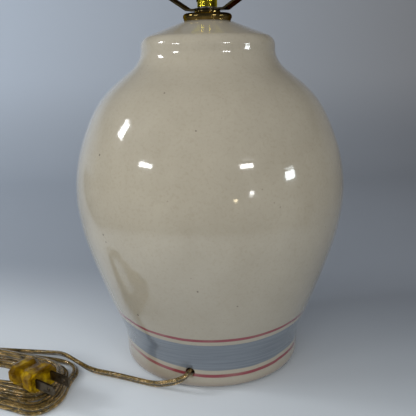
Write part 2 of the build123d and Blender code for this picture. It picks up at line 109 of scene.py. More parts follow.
def noise(nodes, links, vector, scale, detail=4, rough=0.55):
    node = nodes.new("ShaderNodeTexNoise")
    setInputs(node, {"Scale": scale, "Detail": detail, "Roughness": rough})
    links.new(vector, node.inputs["Vector"])
    return node.outputs["Fac"]


def cells(nodes, links, vector, scale):
    # the distance to the middle of the nearest cell
    node = nodes.new("ShaderNodeTexVoronoi")
    node.inputs["Scale"].default_value = scale
    links.new(vector, node.inputs["Vector"])
    return node.outputs["Distance"]


def ramp(nodes, links, value, stops):
    # stops are (position, colour) or (position, grey level)
    node = nodes.new("ShaderNodeValToRGB")
    line = node.color_ramp.elements
    while len(line) < len(stops):
        line.new(0.5)
    for spot, (at, tint) in zip(line, stops):
        spot.position = at
        spot.color = (*tint, 1) if isinstance(tint, tuple) else (tint, tint, tint, 1)
    links.new(value, node.inputs["Fac"])
    return node.outputs["Color"]


def calc(nodes, links, operation, first, second=None, third=None, clamp=False):
    node = nodes.new("ShaderNodeMath")
    node.operation = operation
    node.use_clamp = clamp
    for socket, value in zip(node.inputs, (first, second, third)):
        if value is None:
            continue
        if isinstance(value, (int, float)):
            socket.default_value = value
        else:
            links.new(value, socket)
    return node.outputs["Value"]


def wave(nodes, links, value, pitch):
    return calc(nodes, links, "SINE", calc(nodes, links, "MULTIPLY", value, 2 * math.pi / pitch))


def blendColor(nodes, links, factor, first, second, mode="MIX"):
    node = nodes.new("ShaderNodeMix")
    node.data_type = "RGBA"
    node.blend_type = mode
    sockets = (node.inputs[0], node.inputs[6], node.inputs[7])   # factor, A and B of a colour mix
    for socket, value in zip(sockets, (factor, first, second)):
        if isinstance(value, (int, float)):
            socket.default_value = value
        elif isinstance(value, tuple):
            socket.default_value = (*value, 1)
        else:
            links.new(value, socket)
    return node.outputs[2]   # the mixed colour


def bumpFrom(nodes, links, shader, height, strength, distance, normal=None):
    # without a shader it only gives its normal, for the next bump to build on
    node = nodes.new("ShaderNodeBump")
    setInputs(node, {"Strength": strength, "Distance": distance})
    links.new(height, node.inputs["Height"])
    if normal is not None:
        links.new(normal, node.inputs["Normal"])
    if shader is not None:
        links.new(node.outputs["Normal"], shader.inputs["Normal"])
    return node.outputs["Normal"]


def softStep(nodes, links, value, low, high, start=0, end=1):
    node = nodes.new("ShaderNodeMapRange")
    node.interpolation_type = "SMOOTHSTEP"
    setInputs(node, {"From Min": low, "From Max": high, "To Min": start, "To Max": end})
    links.new(value, node.inputs["Value"])
    return node.outputs["Result"]


def handCurve(nodes, links, value, points):
    # a smooth curve through (0 to 1, 0 to 1) points
    node = nodes.new("ShaderNodeFloatCurve")
    line = node.mapping.curves[0].points
    while len(line) < len(points):
        line.new(0.5, 0.5)
    for spot, place in zip(line, points):
        spot.location = place
    node.mapping.update()
    links.new(value, node.inputs["Value"])
    return node.outputs["Value"]


wearSpec = {
    "patches": {"Detail": 6, "Roughness": 0.62},      # the noise behind smudges and dust
    "edges": {"From Min": 0.42, "From Max": 0.68},    # that noise at a clean spot and at a worn one
    "inputs": {"Patch Scale": 60.0, "Wear": 0.5, "Base Roughness": 0.3, "Roughness Spread": 0.2},
}


def makeHandlingWear():
    # smudges and dust that several finishes share: colour, roughness and a fine height
    group = bpy.data.node_groups.new("handlingWear", "ShaderNodeTree")
    face = group.interface
    face.new_socket("Vector", in_out="INPUT", socket_type="NodeSocketVector")
    face.new_socket("Clean Color", in_out="INPUT", socket_type="NodeSocketColor")
    face.new_socket("Worn Color", in_out="INPUT", socket_type="NodeSocketColor")
    for name, value in wearSpec["inputs"].items():
        socket = face.new_socket(name, in_out="INPUT", socket_type="NodeSocketFloat")
        socket.default_value = value
    face.new_socket("Color", in_out="OUTPUT", socket_type="NodeSocketColor")
    face.new_socket("Roughness", in_out="OUTPUT", socket_type="NodeSocketFloat")
    face.new_socket("Height", in_out="OUTPUT", socket_type="NodeSocketFloat")
    nodes, links = group.nodes, group.links
    entry = nodes.new("NodeGroupInput").outputs
    out = nodes.new("NodeGroupOutput").inputs
    patches = nodes.new("ShaderNodeTexNoise")
    setInputs(patches, wearSpec["patches"])
    links.new(entry["Vector"], patches.inputs["Vector"])
    links.new(entry["Patch Scale"], patches.inputs["Scale"])
    sharp = nodes.new("ShaderNodeMapRange")
    setInputs(sharp, wearSpec["edges"])
    links.new(patches.outputs["Fac"], sharp.inputs["Value"])
    mask = calc(nodes, links, "MULTIPLY", sharp.outputs["Result"], entry["Wear"], clamp=True)
    links.new(blendColor(nodes, links, mask, entry["Clean Color"], entry["Worn Color"]), out["Color"])
    spread = calc(nodes, links, "MULTIPLY", patches.outputs["Fac"], entry["Roughness Spread"])
    links.new(calc(nodes, links, "ADD", entry["Base Roughness"], spread, clamp=True), out["Roughness"])
    links.new(patches.outputs["Fac"], out["Height"])
    return group


handlingWear = makeHandlingWear()

# what a finish has where its own dictionary says nothing else
plainLook = {
    "metallic": 0, "edgeTint": (1, 1, 1), "bump": 0.15, "bumpDepth": 0.0001, "smudgeBump": 1.0,
    "grainScale": 900, "grainDetail": 3, "grainStretch": (1, 1, 1),
}


def wornMaterial(name, finish):
    # metals and mouldings: one look dictionary each, with the shared wear group
    look = {**plainLook, **finish}
    mat, nodes, links, shader = newMaterial(name)
    group = nodes.new("ShaderNodeGroup")
    group.node_tree = handlingWear
    links.new(objectCoords(nodes, links), group.inputs["Vector"])
    setInputs(group, {
        "Clean Color": (*look["color"], 1), "Worn Color": (*look["worn"], 1),
        "Patch Scale": look["patchScale"], "Wear": look["wear"],
        "Base Roughness": look["roughness"], "Roughness Spread": look["spread"],
    })
    links.new(group.outputs["Color"], shader.inputs["Base Color"])
    links.new(group.outputs["Roughness"], shader.inputs["Roughness"])
    setInputs(shader, {"Metallic": look["metallic"], "Specular Tint": (*look["edgeTint"], 1)})
    grainVector = objectCoords(nodes, links, scale=look["grainStretch"])
    grain = noise(nodes, links, grainVector, look["grainScale"], look["grainDetail"])
    mixed = calc(nodes, links, "MULTIPLY_ADD", group.outputs["Height"], look["smudgeBump"], grain)
    bumpFrom(nodes, links, shader, mixed, look["bump"], look["bumpDepth"])
    return mat


cameraSpec = {
    "place": (0.1000, -0.4165, 0.2234),
    "heading": 13.72,   # degrees about Z, from +Y towards -X
    "tilt": 14.295,     # degrees below level
    "roll": -0.884,
    "lens": 50.54, "sensor": 36,   # millimetres
    "nearest": 0.01,
}


def makeCamera():
    spec = cameraSpec
    data = bpy.data.cameras.new("mainCamera")
    data.lens = spec["lens"]
    data.sensor_width = spec["sensor"]
    data.clip_start = spec["nearest"]
    camera = addObject("mainCamera", data)
    camera.matrix_world = (
        Matrix.Translation(spec["place"])
        @ Matrix.Rotation(math.radians(spec["heading"]), 4, "Z")
        @ Matrix.Rotation(math.radians(90 - spec["tilt"]), 4, "X")
        @ Matrix.Rotation(math.radians(spec["roll"]), 4, "Z")
    )
    scene.camera = camera


makeCamera()
print("camera placed")


stageSpec = {
    "size": 3.0, "back": 1.15, "rise": 1.8, "round": 0.5, "roundSteps": 12,
    "wallTurn": 13.7,   # degrees about Z, so that the wall faces the camera
    # painted light and shade: tints at the lit left and at the shaded right, and the span in metres over which
    # each one comes in; the far table is painted darker as if in shade
    "tableTints": ((0.81, 0.855, 0.90), (0.56, 0.60, 0.64)), "tableSpan": (-0.14, 0.20),
    "farShadedTints": ((0.42, 0.465, 0.53), (0.205, 0.21, 0.226)), "farSpan": (0.06, 0.30), "farSlant": 0.30,
    "wallLitToShadedTints": ((0.50, 0.555, 0.635), (0.275, 0.275, 0.285)), "wallSpan": (0.03, 0.20),
    "acrossScale": 0.9, "acrossShift": 0.45,
    "cloudNoise": (3.0, 2), "cloudStops": [(0.3, 0.93), (0.7, 1)],
    "shader": {"Roughness": 0.62, "Specular IOR Level": 0.25},
    # what the gloss mirrors in place of the plain sweep: a darker ceiling, and a room beyond the table's edge
    "ceiling": (0.16, 0.165, 0.18), "ceilingSpan": (0.45, 0.95),
    "beyond": (0.12, 0.123, 0.13), "edgeSpan": (0.28, 0.38),
    "aheadSpan": (-0.10, -0.02), "asideSpan": (-0.32, -0.24),
}


def makeStageMaterial():
    spec = stageSpec
    mat, nodes, links, shader = newMaterial("paleSweep")
    turned = objectCoords(nodes, links, turn=(0, 0, -math.radians(spec["wallTurn"])))
    x, y, z = splitVector(nodes, links, turned)
    across = calc(nodes, links, "MULTIPLY_ADD", x, spec["acrossScale"], spec["acrossShift"], clamp=True)
    # painted light and shade: the table and the wall lighter at the left and darker at the right, and the far
    # table darker than the near one
    table = blendColor(nodes, links, softStep(nodes, links, x, *spec["tableSpan"]), *spec["tableTints"])
    soft = noise(nodes, links, objectCoords(nodes, links), *spec["cloudNoise"])
    table = blendColor(nodes, links, 1.0, table, ramp(nodes, links, soft, spec["cloudStops"]), "MULTIPLY")
    far = blendColor(nodes, links, across, *spec["farShadedTints"])
    wall = blendColor(nodes, links, across, *spec["wallLitToShadedTints"])
    depth = calc(nodes, links, "MULTIPLY_ADD", across, spec["farSlant"], y)
    floor = blendColor(nodes, links, softStep(nodes, links, depth, *spec["farSpan"]), table, far)

    mirrored = nodes.new("ShaderNodeLightPath").outputs["Is Glossy Ray"]
    reach = nodes.new("ShaderNodeVectorMath")
    reach.operation = "LENGTH"
    links.new(objectCoords(nodes, links, scale=(1, 1, 0)), reach.inputs[0])
    outside = softStep(nodes, links, reach.outputs["Value"], *spec["edgeSpan"])
    ahead = softStep(nodes, links, y, *spec["aheadSpan"], 1, 0)
    aside = softStep(nodes, links, calc(nodes, links, "ADD", x, y), *spec["asideSpan"], 1, 0)
    outside = calc(nodes, links, "MULTIPLY", outside, calc(nodes, links, "MAXIMUM", ahead, aside))
    outside = calc(nodes, links, "MULTIPLY", outside, mirrored)
    floor = blendColor(nodes, links, outside, floor, spec["beyond"])
    high = calc(nodes, links, "MULTIPLY", softStep(nodes, links, z, *spec["ceilingSpan"]), mirrored)
    ceiling = blendColor(nodes, links, 1.0, wall, spec["ceiling"], "MULTIPLY")
    wall = blendColor(nodes, links, high, wall, ceiling)
    up = softStep(nodes, links, z, *spec["wallSpan"])
    links.new(blendColor(nodes, links, up, floor, wall), shader.inputs["Base Color"])
    setInputs(shader, spec["shader"])
    return mat


def makeStage():
    # a table top that sweeps up into a wall behind the lamp
    spec = stageSpec
    half, back, bend, steps = spec["size"], spec["back"], spec["round"], spec["roundSteps"]
    line = [(-half, 0), (back - bend, 0)]
    for i in range(1, steps + 1):
        a = math.pi / 2 * i / steps
        line.append((back - bend * (1 - math.sin(a)), bend * (1 - math.cos(a))))
    line.append((back, spec["rise"]))
    bm = bmesh.new()
    verts = [bm.verts.new((-half, y, z)) for y, z in line]
    edges = [bm.edges.new(pair) for pair in zip(verts, verts[1:])]
    made = bmesh.ops.extrude_edge_only(bm, edges=edges)["geom"]
    moved = [g for g in made if isinstance(g, bmesh.types.BMVert)]
    bmesh.ops.translate(bm, verts=moved, vec=(2 * half, 0, 0))
    bmesh.ops.rotate(bm, verts=bm.verts, cent=(0, 0, 0),
                     matrix=Matrix.Rotation(math.radians(spec["wallTurn"]), 3, "Z"))
    ob = finishMesh("tableAndWall", bm)
    dress(ob, makeStageMaterial())


makeStage()

lightSpec = {
    # broad soft lights: place, aim, width, height, power, colour; kept out of the mirror image in the glaze
    "soft": {
        "windowGlow": ((-1.25, -0.55, 0.95), (0, 0, 0.10), 0.6, 0.6, 6.6, (0.92, 0.97, 1.0)),
        "roomFront": ((0.2, -2.4, 1.3), (0, 0, 0.12), 2.4, 1.6, 24.2, (1.0, 0.985, 0.95)),
    },
    # small lamps that the glaze mirrors: seen point, direction, distance, width, height, power, colour
    "mirrored": {
        "sideWindow": ((-0.035, -0.078, 0.182), (-0.870, -0.177, 0.461), 2.0, 0.24, 0.34, 4.6, (0.97, 0.99, 1.0)),
        "leftStrip": ((-0.017, -0.091, 0.162), (-0.641, -0.693, 0.331), 2.0, 0.42, 0.105, 3.4, (0.97, 1.0, 1.0)),
        "rightStrip": ((0.042, -0.083, 0.162), (0.662, -0.651, 0.371), 2.0, 0.39, 0.120, 3.6, (1.0, 1.0, 0.98)),
        "farWindow": ((0.066, -0.068, 0.155), (0.980, -0.122, 0.160), 2.0, 0.32, 0.185, 3.0, (0.90, 0.98, 1.0)),
        "smallLamp": ((0.049, -0.083, 0.142), (0.729, -0.682, 0.063), 2.0, 0.11, 0.060, 0.5, (0.98, 0.99, 1.0)),
        "warmLamp": ((0.034, -0.091, 0.136), (0.556, -0.831, -0.005), 2.0, 0.09, 0.10, 0.35, (1.0, 0.85, 0.55)),
    },
    "faint": 1.0,   # watts; a weaker lamp than this only glints in a gloss
}


def addLight(name, place, aim, width, height, power, tint, mirrored):
    data = bpy.data.lights.new(name, "AREA")
    data.shape = "RECTANGLE"
    data.size, data.size_y = width, height
    data.energy = power
    data.color = tint
    lamp = addObject(name, data)
    lamp.location = place
    lamp.rotation_euler = (Vector(aim) - Vector(place)).to_track_quat("-Z", "Y").to_euler()
    lamp.visible_glossy = mirrored
    lamp.visible_diffuse = power > lightSpec["faint"]


for name, spec in lightSpec["soft"].items():
    addLight(name, *spec, mirrored=False)
for name, (seen, way, distance, *rest) in lightSpec["mirrored"].items():
    addLight(name, Vector(seen) + Vector(way).normalized() * distance, seen, *rest, mirrored=True)

roomSpec = {
    "color": (0.86, 0.89, 0.94, 1),
    "strength": 0.36, "mirrored": 0.07,   # a gloss mirrors a darker room
}


def makeRoom():
    world = bpy.data.worlds.new("roomLight")
    world.use_nodes = True
    nodes, links = world.node_tree.nodes, world.node_tree.links
    background = nodes["Background"]
    background.inputs["Color"].default_value = roomSpec["color"]
    mirrored = nodes.new("ShaderNodeLightPath").outputs["Is Glossy Ray"]
    plain = roomSpec["strength"]
    strength = calc(nodes, links, "MULTIPLY_ADD", mirrored, roomSpec["mirrored"] - plain, plain)
    links.new(strength, background.inputs["Strength"])
    scene.world = world


makeRoom()
print("stage and light set")


jarSpec = {
    "turns": 256, "step": 0.0035, "sharpAngle": 50,
    "foot": [(0.0590, 0.0), (0.0609, 0.00025), (0.0627, 0.0009), (0.0643, 0.0022), (0.0656, 0.0037),
             (0.0663, 0.0056), (0.0665, 0.0075)],
    "flank": [(0.0665, 0.0130), (0.0671, 0.0200), (0.0684, 0.0265), (0.0718, 0.0360), (0.0764, 0.0480),
              (0.0816, 0.0620), (0.0875, 0.0790), (0.0954, 0.1080), (0.0978, 0.1320), (0.0940, 0.1590),
              (0.0889, 0.1740), (0.0840, 0.1850), (0.0780, 0.1950), (0.0694, 0.2045), (0.0598, 0.2125),
              (0.0531, 0.2180), (0.0496, 0.2225), (0.0474, 0.2290)],
    "rimCorner": (0.0474, 0.2376), "rimRound": 0.008, "rimSteps": 10,
    "mouth": (0.0164, 0.2493), "coneSteps": 6,
    "register": (0.0144, 0.2517),
    "bore": 0.0070,
    "recess": [(0.0070, 0.0300), (0.0540, 0.0300), (0.0568, 0.0288), (0.0580, 0.0260), (0.0580, 0.0070),
               (0.0574, 0.0040), (0.0545, 0.0)],
    "holeRadius": 0.0033, "holeSides": 48,
    "holeMiddle": (0, -0.0625, 0.0138), "holeLength": 0.024,   # of the tool that cuts the hole
}


def smoothLine(points, step):
    # an interpolating curve through the outline's points, upright at both ends
    curve = []
    slopes = []
    spans = [math.dist(a, b) for a, b in zip(points, points[1:])]
    for i in range(len(points)):
        if i in (0, len(points) - 1):
            slopes.append((0.0, 1.0))
            continue
        left, right = spans[i - 1], spans[i]
        slopes.append(tuple(
            ((points[i + 1][k] - points[i][k]) / right * left + (points[i][k] - points[i - 1][k]) / left * right)
            / (left + right) for k in (0, 1)))
    for i, span in enumerate(spans):
        count = max(2, round(span / step))
        for j in range(count):
            t = j / count
            h00, h10 = 2 * t ** 3 - 3 * t ** 2 + 1, t ** 3 - 2 * t ** 2 + t
            h01, h11 = -2 * t ** 3 + 3 * t ** 2, t ** 3 - t ** 2
            curve.append(tuple(
                h00 * points[i][k] + h10 * span * slopes[i][k]
                + h01 * points[i + 1][k] + h11 * span * slopes[i + 1][k] for k in (0, 1)))
    return curve + [points[-1]]


def cornerArc(before, corner, after, radius, steps):
    # points of a round between two straight runs
    a = Vector(before) - Vector(corner)
    b = Vector(after) - Vector(corner)
    half = a.angle(b) / 2
    reach = radius / math.tan(half)
    start = Vector(corner) + a.normalized() * reach
    end = Vector(corner) + b.normalized() * reach
    middle = Vector(corner) + (a.normalized() + b.normalized()).normalized() * radius / math.sin(half)
    points = []
    for i in range(steps + 1):
        spot = start.lerp(end, i / steps) - middle
        points.append(tuple(middle + spot.normalized() * radius))
    return points


def makeJar():
    spec = jarSpec
    mouth, register, steps = spec["mouth"], spec["register"], spec["coneSteps"]
    rim = cornerArc(spec["flank"][-1], spec["rimCorner"], mouth, spec["rimRound"], spec["rimSteps"])
    outline = spec["foot"] + smoothLine(spec["flank"], spec["step"]) + rim
    outline += [tuple(Vector(rim[-1]).lerp(Vector(mouth), i / steps)) for i in range(1, steps + 1)]
    outline += [(register[0], mouth[1]), register, (spec["bore"], register[1])]
    bm = spinProfile(outline + spec["recess"], spec["turns"])
    jar = finishMesh("thrownJar", bm, sharpAngle=spec["sharpAngle"])
    cutter = bmesh.new()
    place = Matrix.Translation(spec["holeMiddle"]) @ Matrix.Rotation(math.pi / 2, 4, "X")
    bmesh.ops.create_cone(cutter, cap_ends=True, segments=spec["holeSides"], radius1=spec["holeRadius"],
                          radius2=spec["holeRadius"], depth=spec["holeLength"], matrix=place)
    tool = finishMesh("holeTool", cutter)
    cut = jar.modifiers.new("cordHole", "BOOLEAN")
    cut.object = tool
    cut.solver = "EXACT"
    solid = bpy.data.meshes.new_from_object(jar.evaluated_get(bpy.context.evaluated_depsgraph_get()))
    jar.modifiers.clear()
    jar.data = solid
    bpy.data.objects.remove(tool)
    return jar


glazeSpec = {
    "cream": (0.450, 0.400, 0.310),
    "creamDark": (0.404, 0.356, 0.272),
    "creamPale": (0.43, 0.395, 0.33),
    "footTint": (0.30, 0.235, 0.185),
    "band": (0.150, 0.178, 0.214),
    "bandDark": (0.104, 0.127, 0.158),
    "line": (0.215, 0.030, 0.042),
    # noises: scale, detail and roughness
    "wobbleNoise": (14, 3), "mottleNoise": (34, 7, 0.65), "gritNoise": (520, 1, 0.7), "cloudNoise": (9, 3),
    "streakNoise": (9, 5, 0.6), "lineNoise": (48, 4), "pitNoise": (33, 2), "throwNoise": (3.2, 2),
    "peelNoise": (240, 2),
    # three of them run round the jar, closer in height than in width
    "streakStretch": (3, 3, 120), "lineStretch": (1, 1, 6), "throwStretch": (1.2, 1.2, 46),
    # where a noise gives the darker tint and where the lighter one
    "mottleFrom": 0.32, "mottleTo": 0.66, "streakFrom": 0.34, "streakTo": 0.62,
    "gritStops": [(0.24, (0.80, 0.77, 0.72)), (0.50, (1, 1, 1))], "gritShare": 0.35,
    "paleStops": [(0.35, 0), (0.75, 0.35)],
    # heights over which painted shade darkens the jar towards the foot, and over which it turns darker and
    # browner at the foot's edge
    "paintedShadeSpan": (0.035, 0.15), "paintedShadeFactor": 0.82, "footEdgeSpan": (0.0015, 0.0085), "footEdgeShare": 0.75,
    # the painted stripes: heights, softness of their edges and strength of the paint
    "upperLine": (0.0405, 0.0428), "lowerLine": (0.0102, 0.0126), "lineEdge": 0.0004, "lineStrength": (1.1, 0.40),
    "bandSpan": (0.0156, 0.0374), "bandEdge": 0.00045, "bandStrength": 0.93,
    "wobble": 0.0016,
    # how far the hand-painted lines rise round the jar: degrees from -Y towards +X, and millimetres
    "riseReach": 8.0,
    "upperRise": [(-180, 1.0), (-120, 2.2), (-80, 3.8), (-56, 4.7), (-43, 4.5), (-31, 3.0), (-20, 1.3),
                  (-8, 0.6), (5, 0.0), (20, 0.0), (33, 0.1), (44, 0.8), (55, 1.5), (64, 2.2), (80, 2.3),
                  (120, 1.5), (180, 1.0)],
    "lowerRise": [(-180, 1.0), (-120, 2.6), (-80, 4.8), (-56, 5.9), (-43, 5.6), (-31, 4.2), (-20, 2.8),
                  (-8, 1.7), (5, 0.6), (18, 0.0), (33, 0.0), (44, 0.5), (55, 1.1), (64, 2.0), (80, 2.2),
                  (120, 1.5), (180, 1.0)],
    # how much of the lower line is left round the jar
    "lowerFade": [(-180, 0.9), (-120, 0.75), (-62, 0.35), (-44, 0.45), (-26, 0.95), (40, 1.0), (180, 0.9)],
    # dark specks where the glaze has pitted: place and radius
    "specks": [((-0.0517, -0.0812, 0.1145), 0.0009), ((-0.0501, -0.0814, 0.1097), 0.0008),
               ((-0.0345, -0.0713, 0.0554), 0.0011), ((0.0123, -0.0879, 0.0829), 0.0008),
               ((0.0354, -0.0768, 0.0703), 0.0007), ((-0.0540, -0.0746, 0.1654), 0.0010),
               ((0.0123, -0.0841, 0.1826), 0.0007), ((-0.0111, -0.0692, 0.2037), 0.0007)],
    "speckCore": 0.45, "speckTint": (0.085, 0.06, 0.04), "speckStrength": 0.7,
    # smaller pits: one to a cell, in the cells where a noise passes pitRare
    "pitScale": 150, "pitRare": 0.60, "pitSize": 0.075, "pitStrength": 0.4,
    "glossStops": [(0.3, 0.07), (0.7, 0.13)],
    "shader": {"IOR": 1.52, "Coat Weight": 0.5, "Coat Roughness": 0.03},
    # strength and depth of the throwing rings, the orange peel and the pits
    "throwBump": (0.14, 0.0009), "peelBump": (0.14, 0.0003), "pitBump": (0.5, 0.0003),
}


def heightBand(nodes, links, lower, upper, low, high, soft):
    # 1 from low on the lower height to high on the upper one, falling off over a soft edge
    rise = softStep(nodes, links, lower, low - soft, low + soft)
    fall = softStep(nodes, links, upper, high - soft, high + soft, 1, 0)
    return calc(nodes, links, "MULTIPLY", rise, fall)


def aroundJar(nodes, links, turn, rows, full=1):
    # a value that changes round the jar, from rows of degrees and value
    return handCurve(nodes, links, turn, [(degrees / 360 + 0.5, value / full) for degrees, value in rows])


def makeGlaze():
    spec = glazeSpec
    mat, nodes, links, shader = newMaterial("stonewareGlaze")
    vector = objectCoords(nodes, links)
    x, y, z = splitVector(nodes, links, vector)
    wobble = noise(nodes, links, vector, *spec["wobbleNoise"])
    wobble = calc(nodes, links, "MULTIPLY_ADD", wobble, spec["wobble"], -spec["wobble"] / 2)
    level = calc(nodes, links, "ADD", z, wobble)
    angle = calc(nodes, links, "ARCTAN2", x, calc(nodes, links, "MULTIPLY", y, -1))
    turn = calc(nodes, links, "MULTIPLY_ADD", angle, 1 / (2 * math.pi), 0.5)
    heights = []
    for rows in (spec["lowerRise"], spec["upperRise"]):
        rise = aroundJar(nodes, links, turn, rows, spec["riseReach"])
        heights.append(calc(nodes, links, "MULTIPLY_ADD", rise, -spec["riseReach"] / 1000, level))
    lower, upper = heights

    # the cream glaze
    mottle = noise(nodes, links, vector, *spec["mottleNoise"])
    stops = [(spec["mottleFrom"], spec["creamDark"]), (spec["mottleTo"], spec["cream"])]
    cream = ramp(nodes, links, mottle, stops)
    grit = ramp(nodes, links, noise(nodes, links, vector, *spec["gritNoise"]), spec["gritStops"])
    cream = blendColor(nodes, links, spec["gritShare"], cream, grit, "MULTIPLY")
    pale = ramp(nodes, links, noise(nodes, links, vector, *spec["cloudNoise"]), spec["paleStops"])
    cream = blendColor(nodes, links, pale, cream, spec["creamPale"])
    # painted shade: the lower jar, which faces down, made darker towards the foot
    paintedShade = softStep(nodes, links, z, *spec["paintedShadeSpan"], spec["paintedShadeFactor"], 1)
    cream = blendColor(nodes, links, 1.0, cream, paintedShade, "MULTIPLY")
    # darker and browner at the foot's edge
    footEdge = softStep(nodes, links, lower, *spec["footEdgeSpan"], spec["footEdgeShare"], 0)
    cream = blendColor(nodes, links, footEdge, cream, spec["footTint"])

    # the painted band and its two lines
    streakVector = objectCoords(nodes, links, scale=spec["streakStretch"])
    streak = noise(nodes, links, streakVector, *spec["streakNoise"])
    stops = [(spec["streakFrom"], spec["bandDark"]), (spec["streakTo"], spec["band"])]
    bandMask = heightBand(nodes, links, lower, upper, *spec["bandSpan"], spec["bandEdge"])
    bandMask = calc(nodes, links, "MULTIPLY", bandMask, spec["bandStrength"])
    base = blendColor(nodes, links, bandMask, cream, ramp(nodes, links, streak, stops))
    lineVector = objectCoords(nodes, links, scale=spec["lineStretch"])
    strength = noise(nodes, links, lineVector, *spec["lineNoise"])
    strength = calc(nodes, links, "MULTIPLY_ADD", strength, *spec["lineStrength"], clamp=True)
    upperMask = heightBand(nodes, links, upper, upper, *spec["upperLine"], spec["lineEdge"])
    lowerMask = heightBand(nodes, links, lower, lower, *spec["lowerLine"], spec["lineEdge"])
    lowerMask = calc(nodes, links, "MULTIPLY", lowerMask, aroundJar(nodes, links, turn, spec["lowerFade"]))
    for mask in (upperMask, lowerMask):
        base = blendColor(nodes, links, calc(nodes, links, "MULTIPLY", mask, strength), base, spec["line"])

    # pits and specks
    few = noise(nodes, links, vector, *spec["pitNoise"])
    rare = calc(nodes, links, "GREATER_THAN", few, spec["pitRare"])
    rare = calc(nodes, links, "MULTIPLY", rare, spec["pitStrength"])
    pit = calc(nodes, links, "LESS_THAN", cells(nodes, links, vector, spec["pitScale"]), spec["pitSize"])
    pit = calc(nodes, links, "MULTIPLY", pit, rare)
    for place, radius in spec["specks"]:
        gap = nodes.new("ShaderNodeVectorMath")
        gap.operation = "DISTANCE"
        gap.inputs[1].default_value = place
        links.new(vector, gap.inputs[0])
        speck = softStep(nodes, links, gap.outputs["Value"], radius * spec["speckCore"], radius, 1, 0)
        pit = calc(nodes, links, "MAXIMUM", pit, speck)
    dark = calc(nodes, links, "MULTIPLY", pit, spec["speckStrength"])
    base = blendColor(nodes, links, dark, base, spec["speckTint"])
    links.new(base, shader.inputs["Base Color"])

    links.new(ramp(nodes, links, mottle, spec["glossStops"]), shader.inputs["Roughness"])
    setInputs(shader, spec["shader"])
    throwVector = objectCoords(nodes, links, scale=spec["throwStretch"])
    throwing = noise(nodes, links, throwVector, *spec["throwNoise"])
    normal = bumpFrom(nodes, links, None, throwing, *spec["throwBump"])
    peel = noise(nodes, links, vector, *spec["peelNoise"])
    normal = bumpFrom(nodes, links, None, peel, *spec["peelBump"], normal=normal)
    hollow = calc(nodes, links, "SUBTRACT", 1, pit)
    bumpFrom(nodes, links, shader, hollow, *spec["pitBump"], normal=normal)
    return mat


jar = makeJar()
dress(jar, makeGlaze())
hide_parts("ceramic_body")
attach(jar, "root")
print("jar made, faces:", len(jar.data.polygons))


# bright brass turned on a lathe: fine rings, and hardly a smudge
turnedBrass = {"metallic": 1, "patchScale": 160, "grainStretch": (0.03, 0.03, 1), "grainScale": 1300,
               "bump": 0.9, "bumpDepth": 0.00055, "smudgeBump": 0.02}

finishes = {
    # lit and shaded copies of one brass: the socket cap's copy is painted brighter and yellower as if lit, the
    # shell's copy darker as if in shade
    "polishedBrassLit": {**turnedBrass, "color": (0.94, 0.76, 0.055), "worn": (0.50, 0.38, 0.03),
                      "roughness": 0.06, "spread": 0.10, "wear": 0.5, "edgeTint": (0.95, 0.85, 0.25)},
    "shellBrassShaded": {**turnedBrass, "color": (0.70, 0.53, 0.15), "worn": (0.36, 0.26, 0.08),
                   "roughness": 0.10, "spread": 0.12, "wear": 0.6, "edgeTint": (0.9, 0.8, 0.4)},
    "antiqueBrass": {"color": (0.34, 0.24, 0.085), "worn": (0.08, 0.052, 0.02), "roughness": 0.09,
                     "spread": 0.14, "metallic": 1, "wear": 0.8, "patchScale": 130,
                     "grainStretch": (0.1, 0.1, 1), "bump": 0.12, "edgeTint": (0.35, 0.25, 0.12)},
    "dullPlate": {"color": (0.17, 0.13, 0.06), "worn": (0.035, 0.028, 0.016), "roughness": 0.12,
                  "spread": 0.16, "metallic": 1, "wear": 0.8, "patchScale": 150, "bump": 0.12,
                  "edgeTint": (0.30, 0.22, 0.10)},
    "zincPlate": {"color": (0.60, 0.60, 0.61), "worn": (0.36, 0.35, 0.33), "roughness": 0.32, "spread": 0.2,
                  "metallic": 1, "wear": 0.7, "patchScale": 170, "bump": 0.15},
    "plainBrass": {"color": (0.72, 0.50, 0.20), "worn": (0.40, 0.25, 0.09), "roughness": 0.26, "spread": 0.2,
                   "metallic": 1, "wear": 0.7, "patchScale": 170, "bump": 0.12},
    "shellMetal": {"color": (0.72, 0.71, 0.68), "worn": (0.46, 0.45, 0.42), "roughness": 0.25, "spread": 0.15,
                   "metallic": 1, "wear": 0.5, "patchScale": 170, "bump": 0.08},
    "tarnishedBlade": {"color": (0.16, 0.13, 0.095), "worn": (0.055, 0.044, 0.032), "roughness": 0.32,
                       "spread": 0.25, "metallic": 1, "wear": 0.9, "patchScale": 260, "bump": 0.2,
                       "edgeTint": (0.3, 0.27, 0.22)},
    "darkMoulding": {"color": (0.022, 0.018, 0.015), "worn": (0.045, 0.038, 0.032), "roughness": 0.32,
                     "spread": 0.2, "wear": 0.5, "patchScale": 200, "bump": 0.12},
    "blackRubber": {"color": (0.018, 0.018, 0.018), "worn": (0.05, 0.048, 0.045), "roughness": 0.72,
                    "spread": 0.2, "wear": 0.6, "patchScale": 150, "bump": 0.35},
    "fibreSleeve": {"color": (0.20, 0.125, 0.07), "worn": (0.27, 0.18, 0.11), "roughness": 0.85,
                    "spread": 0.1, "wear": 0.6, "patchScale": 110, "bump": 0.4, "grainStretch": (1, 1, 0.15)},
}
materials = {name: wornMaterial(name, look) for name, look in finishes.items()}

